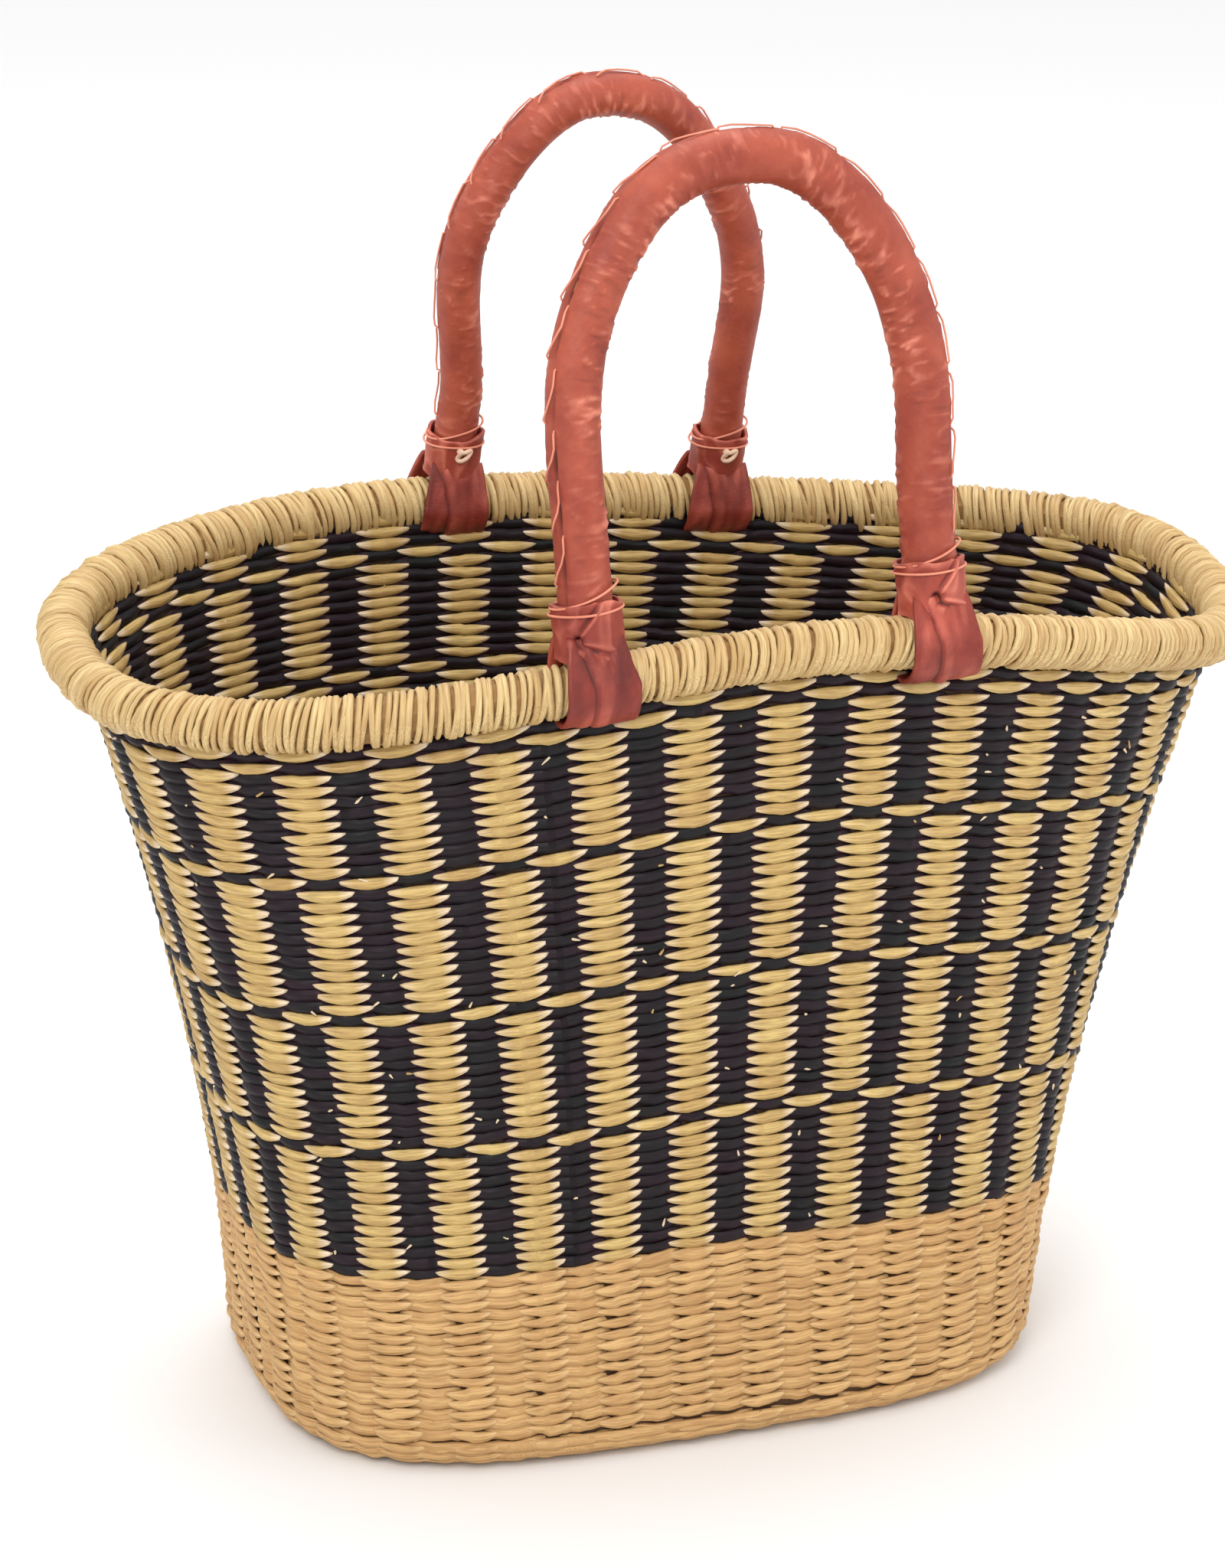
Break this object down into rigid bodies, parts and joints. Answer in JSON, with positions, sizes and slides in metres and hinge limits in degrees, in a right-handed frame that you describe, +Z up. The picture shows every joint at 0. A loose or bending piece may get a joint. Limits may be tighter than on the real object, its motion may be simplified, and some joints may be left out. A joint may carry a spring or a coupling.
{
  "type": "handled market basket",
  "caption": "Oval flared market basket of twined natural and near-black grass with a thick bound rim and a pair of leather-covered hoop handles looped round it.",
  "frame": {"origin": "level with the underside of the base, below the middle of the rim; the base's own middle is 7 mm to its -X side, because the basket leans", "axes": "+Z up, +X along the basket, -Y the side that faces the viewer, which has the larger handle"},
  "size_m": [0.4378, 0.2328, 0.4633],
  "materials": {
    "natural_weave": "matte",
    "patterned_weave": "matte",
    "rim_binding": "satin",
    "grass_core": "matte",
    "handle_leather": "satin",
    "cuff_leather": "satin",
    "lacing_leather": "satin",
    "knot_fibre": "matte"
  },
  "bodies": {
    "basket": {"base_weave": "natural_weave", "plain_wall_weave": "natural_weave", "patterned_wall_weave": "patterned_weave", "rim_core": "grass_core", "rim_binding": "rim_binding"},
    "front_handle": {"front_handle_core": "grass_core", "front_handle_cover": "handle_leather", "front_handle_lacing": "lacing_leather", "front_left_loop": "cuff_leather", "front_left_cuff": "cuff_leather", "front_left_peg": "knot_fibre", "front_left_tie": "lacing_leather", "front_right_loop": "cuff_leather", "front_right_cuff": "cuff_leather", "front_right_peg": "knot_fibre", "front_right_tie": "lacing_leather"},
    "back_handle": {"back_handle_core": "grass_core", "back_handle_cover": "handle_leather", "back_handle_lacing": "lacing_leather", "back_left_loop": "cuff_leather", "back_left_cuff": "cuff_leather", "back_left_peg": "knot_fibre", "back_left_tie": "lacing_leather", "back_right_loop": "cuff_leather", "back_right_cuff": "cuff_leather", "back_right_peg": "knot_fibre", "back_right_tie": "lacing_leather"}
  },
  "joints": [
    {"name": "front_handle_hinge", "type": "hinge", "parent": "basket", "child": "front_handle", "pos_m": [-0.001, -0.10212, 0.29149], "axis": [-0.9994, 0.0016, -0.0349], "range_deg": [-100, 20]},
    {"name": "back_handle_hinge", "type": "hinge", "parent": "basket", "child": "back_handle", "pos_m": [0.005, 0.10282, 0.29028], "axis": [0.9974, -0.0074, -0.0721], "range_deg": [-98, 27]}
  ]
}
